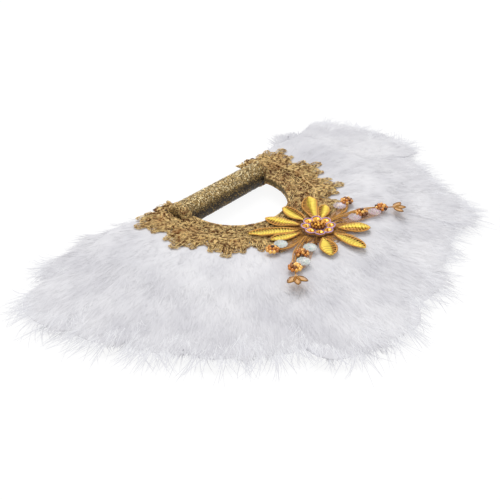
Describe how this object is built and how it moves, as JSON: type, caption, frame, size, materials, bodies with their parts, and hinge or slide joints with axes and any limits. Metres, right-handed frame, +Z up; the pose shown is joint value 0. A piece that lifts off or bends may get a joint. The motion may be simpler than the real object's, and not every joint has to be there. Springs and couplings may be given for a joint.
{
  "type": "feather hand fan",
  "caption": "Half-moon hand fan of white down plumes on a half-ring board, with a round glitter grip, gold lace and a beaded flower.",
  "frame": {"origin": "middle of the fan's footprint, on the surface it lies on", "axes": "+X along the grip and the fan's width, +Y from the grip out through the plumes, +Z up through the front"},
  "size_m": [0.513, 0.3258, 0.0341],
  "materials": {
    "greyboard": "matt pressed paper board",
    "pipe": "smooth extruded plastic pipe",
    "foam": "soft foam sleeve",
    "glitter_cloth": "woven cloth coated with gold glitter",
    "ribbon": "satin ribbon",
    "cotton_tape": "plain woven tape",
    "gold_lace": "metallic gold thread lace",
    "down": "soft white down",
    "organza": "sheer woven net",
    "yellow_satin": "satin-stitched sequin petals",
    "lilac_sequin": "iridescent sequin film",
    "gold_bead": "glossy seed beads",
    "copper_cord": "twisted metallic cord",
    "pearl_sequin": "iridescent cup sequins"
  },
  "bodies": {
    "root": {"applique_net": "organza", "back_board": "greyboard", "back_fringe": "down", "back_lace": "gold_lace", "back_tape": "cotton_tape", "front_board": "greyboard", "front_fringe": "down", "front_lace": "gold_lace", "front_tape": "cotton_tape", "grip_cover": "glitter_cloth", "grip_foam": "foam", "handle_core": "pipe", "hole_binding": "ribbon", "left_bead_cluster_1": "gold_bead", "left_bead_cluster_2": "gold_bead", "left_bead_cluster_3": "gold_bead", "left_cord_loops": "copper_cord", "left_cup_sequin_1": "pearl_sequin", "left_cup_sequin_2": "pearl_sequin", "left_cup_sequin_3": "pearl_sequin", "left_stem": "copper_cord", "petal_1": "yellow_satin", "petal_2": "yellow_satin", "petal_3": "yellow_satin", "petal_4": "yellow_satin", "petal_5": "yellow_satin", "petal_6": "yellow_satin", "petal_7": "yellow_satin", "petal_8": "yellow_satin", "petal_9": "yellow_satin", "plume_01": "down", "plume_02": "down", "plume_03": "down", "plume_04": "down", "plume_05": "down", "plume_06": "down", "plume_07": "down", "plume_08": "down", "plume_09": "down", "plume_10": "down", "plume_11": "down", "plume_12": "down", "plume_13": "down", "plume_14": "down", "plume_15": "down", "plume_16": "down", "plume_17": "down", "right_bead_cluster_1": "gold_bead", "right_bead_cluster_2": "gold_bead", "right_bead_cluster_3": "gold_bead", "right_cord_loops": "copper_cord", "right_cup_sequin_1": "pearl_sequin", "right_cup_sequin_2": "pearl_sequin", "right_cup_sequin_3": "pearl_sequin", "right_stem": "copper_cord", "rosette": "lilac_sequin", "rosette_beads": "gold_bead"}
  },
  "joints": []
}
